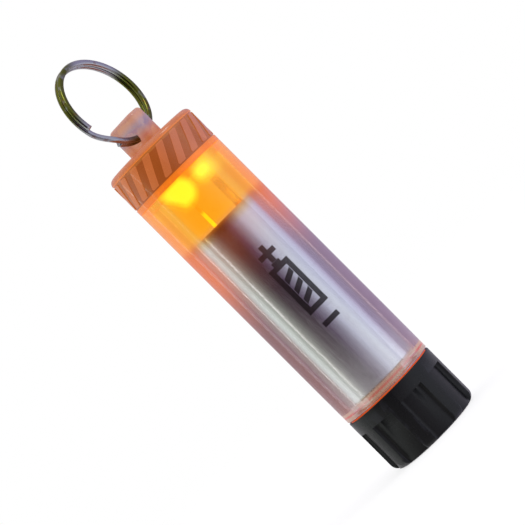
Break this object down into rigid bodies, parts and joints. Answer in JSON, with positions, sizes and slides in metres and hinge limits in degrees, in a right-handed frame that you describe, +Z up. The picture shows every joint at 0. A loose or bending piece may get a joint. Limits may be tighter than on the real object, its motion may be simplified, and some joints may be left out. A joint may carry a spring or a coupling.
{
  "type": "keychain marker light",
  "caption": "Short clear glow-tube marker light with amber LEDs under its head, a silver battery sleeve, a screw cap that is the switch, and a split ring in its lug.",
  "frame": {"origin": "centre of the cap's flat end, on the surface that the light stands on", "axes": "+Z up the tube's axis towards the ring; X along the eye in the lug, which the ring's wire passes through"},
  "size_m": [0.0193, 0.019, 0.0907],
  "materials": {
    "clear_plastic": "clear acrylic, faintly frosted, amber where the light reaches it",
    "black_plastic": "moulded black nylon, satin",
    "shroud_plastic": "dark brown moulding",
    "sleeve_metal": "drawn bright aluminium tube",
    "white_plastic": "white moulded polypropylene",
    "contact_brass": "stamped brass",
    "tinned_copper": "tinned wire and lead frame",
    "nickel_steel": "bright nickel plate",
    "spring_steel": "music wire",
    "cell_steel": "nickel-plated steel",
    "cell_film": "printed shrink film",
    "seal_rubber": "orange silicone",
    "board_green": "solder mask over glass laminate",
    "chip_black": "moulded epoxy",
    "ferrite": "ferrite drum",
    "chip_ceramic": "fired ceramic",
    "led_amber": "amber tinted epoxy"
  },
  "bodies": {
    "barrel": {"tube": "clear_plastic", "head": "clear_plastic", "sleeve": "sleeve_metal", "ground_collar": "contact_brass", "battery_liner": "white_plastic", "insulating_disc": "white_plastic", "positive_contact": "contact_brass", "positive_lead": "tinned_copper", "ground_strip": "contact_brass", "circuit_board": "board_green", "board_shroud": "shroud_plastic", "led_left": "led_amber", "led_right": "led_amber", "led_left_frame": "tinned_copper", "led_right_frame": "tinned_copper", "driver_chip": "chip_black", "inductor": "ferrite", "resistors": "chip_ceramic", "capacitor": "chip_ceramic", "o_ring": "seal_rubber"},
    "cell": {"cell_can": "cell_steel", "cell_jacket": "cell_film", "cell_positive_cap": "cell_steel", "cell_seal": "white_plastic", "cell_negative_plate": "cell_steel"},
    "cap": {"end_cap": "black_plastic", "cap_contact": "contact_brass", "negative_spring": "spring_steel"},
    "ring": {"split_ring": "nickel_steel"}
  },
  "joints": [
    {"name": "cap_advance", "type": "slide", "parent": "barrel", "child": "cell", "axis": [0, 0, -1], "range_m": [0, 0.00562]},
    {"name": "cap_turn", "type": "hinge", "parent": "cell", "child": "cap", "pos_m": [0, 0, 0], "axis": [0, 0, -1], "range_deg": [0, 1350]},
    {"name": "ring_swing", "type": "hinge", "parent": "barrel", "child": "ring", "pos_m": [0, 0, 0.07295], "axis": [1, 0, 0], "range_deg": [-93, 101]}
  ],
  "couplings": [
    {"joint": "cap_turn", "follows": "cap_advance", "rad_per_m": 4188.8}
  ]
}
